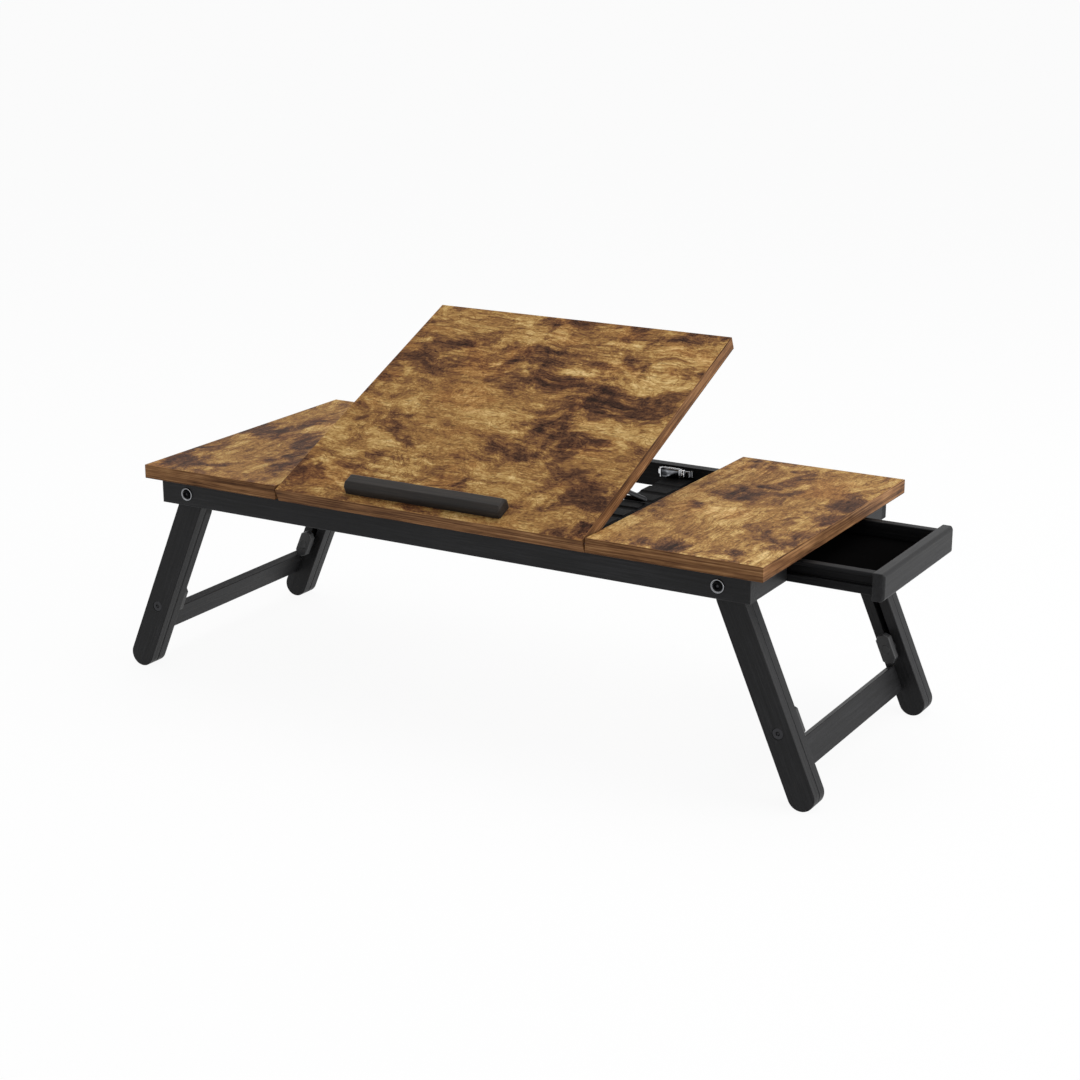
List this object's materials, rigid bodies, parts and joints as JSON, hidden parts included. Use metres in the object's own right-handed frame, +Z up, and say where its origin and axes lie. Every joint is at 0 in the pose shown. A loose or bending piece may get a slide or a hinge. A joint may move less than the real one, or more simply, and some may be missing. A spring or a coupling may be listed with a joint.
{
  "type": "laptop stand with drawer",
  "caption": "Folding laptop table: wide board top with a tilting centre panel on a wire stay and notched racks, side drawer, and splayed legs that lengthen and fold.",
  "frame": {"origin": "on the floor, under the middle of the table top (the open drawer reaches further to the right)", "axes": "+X along the table towards the drawer, +Y from the user's edge to the rear edge, +Z up"},
  "size_m": [0.8541, 0.3523, 0.376],
  "materials": {
    "board": "satin wood-look laminate, brown with darker mottled patches",
    "black_wood": "black stain, satin, faint grain",
    "drawer_floor": "thin black board, matte",
    "dowel_wood": "plain, unfinished",
    "plated_steel": "bright zinc plate",
    "dark_steel": "black oxide, semi-gloss",
    "chrome": "polished chrome plate",
    "magnet": "dark grey, matte",
    "black_plastic": "black, satin moulded"
  },
  "bodies": {
    "table_frame": {"left_board": "board", "right_board": "board", "front_rail": "black_wood", "rear_rail": "black_wood", "left_end_rail": "black_wood", "right_end_rail_front": "black_wood", "right_end_rail_rear": "black_wood", "left_batten": "black_wood", "right_batten": "black_wood", "left_rack": "black_wood", "right_rack": "black_wood", "drawer_runner_front": "black_wood", "drawer_runner_rear": "black_wood", "panel_pins": "plated_steel", "pivot_bolts": "dark_steel", "pivot_nuts": "plated_steel", "panel_catch": "chrome", "catch_magnet": "magnet"},
    "centre_panel": {"tilt_panel": "board", "ledge": "black_wood", "ledge_dowels": "dowel_wood", "stay_saddles": "black_plastic", "saddle_screws": "plated_steel", "catch_plate": "chrome"},
    "stay": {"tilt_stay": "plated_steel"},
    "drawer": {"drawer_front": "black_wood", "drawer_side_front": "black_wood", "drawer_side_rear": "black_wood", "drawer_back": "black_wood", "drawer_floor": "drawer_floor"},
    "legs_left": {"leg_front_left": "black_wood", "leg_rear_left": "black_wood", "clamp_bolts_left": "dark_steel", "guide_pins_left": "dark_steel"},
    "extension_left": {"extension_front_left": "black_wood", "extension_rear_left": "black_wood", "crossbar_left": "black_wood"},
    "knob_front_left": {"knob_front_left": "black_plastic"},
    "knob_rear_left": {"knob_rear_left": "black_plastic"},
    "legs_right": {"leg_front_right": "black_wood", "leg_rear_right": "black_wood", "clamp_bolts_right": "dark_steel", "guide_pins_right": "dark_steel"},
    "extension_right": {"extension_front_right": "black_wood", "extension_rear_right": "black_wood", "crossbar_right": "black_wood"},
    "knob_front_right": {"knob_front_right": "black_plastic"},
    "knob_rear_right": {"knob_rear_right": "black_plastic"}
  },
  "joints": [
    {"name": "panel_tilt", "type": "hinge", "parent": "table_frame", "child": "centre_panel", "pos_m": [-0.007, -0.1695, 0.2325], "axis": [1, 0, 0], "range_deg": [-23.4, 0]},
    {"name": "stay_fold", "type": "hinge", "parent": "centre_panel", "child": "stay", "pos_m": [-0.007, -0.06175, 0.26551], "axis": [1, 0, 0], "range_deg": [0, 48.8]},
    {"name": "drawer_slide", "type": "slide", "parent": "table_frame", "child": "drawer", "axis": [1, 0, 0], "range_m": [-0.088, 0.022]},
    {"name": "leg_fold_left", "type": "hinge", "parent": "table_frame", "child": "legs_left", "pos_m": [-0.3109, 0, 0.212], "axis": [0, -1, 0], "range_deg": [0, 105]},
    {"name": "leg_extend_left", "type": "slide", "parent": "legs_left", "child": "extension_left", "axis": [-0.3939, 0, -0.9191], "range_m": [0, 0.056]},
    {"name": "knob_turn_front_left", "type": "hinge", "parent": "legs_left", "child": "knob_front_left", "pos_m": [-0.37038, -0.122, 0.07321], "axis": [0, 1, 0], "range_deg": [0, 180]},
    {"name": "knob_turn_rear_left", "type": "hinge", "parent": "legs_left", "child": "knob_rear_left", "pos_m": [-0.37038, 0.122, 0.07321], "axis": [0, -1, 0], "range_deg": [0, 180]},
    {"name": "leg_fold_right", "type": "hinge", "parent": "table_frame", "child": "legs_right", "pos_m": [0.3109, 0, 0.212], "axis": [0, 1, 0], "range_deg": [0, 105]},
    {"name": "leg_extend_right", "type": "slide", "parent": "legs_right", "child": "extension_right", "axis": [0.3939, 0, -0.9191], "range_m": [0, 0.056]},
    {"name": "knob_turn_front_right", "type": "hinge", "parent": "legs_right", "child": "knob_front_right", "pos_m": [0.37038, -0.122, 0.07321], "axis": [0, 1, 0], "range_deg": [0, 180]},
    {"name": "knob_turn_rear_right", "type": "hinge", "parent": "legs_right", "child": "knob_rear_right", "pos_m": [0.37038, 0.122, 0.07321], "axis": [0, -1, 0], "range_deg": [0, 180]}
  ],
  "couplings": [
    {"joint": "stay_fold", "follows": "panel_tilt", "ratio": -2.0845}
  ]
}
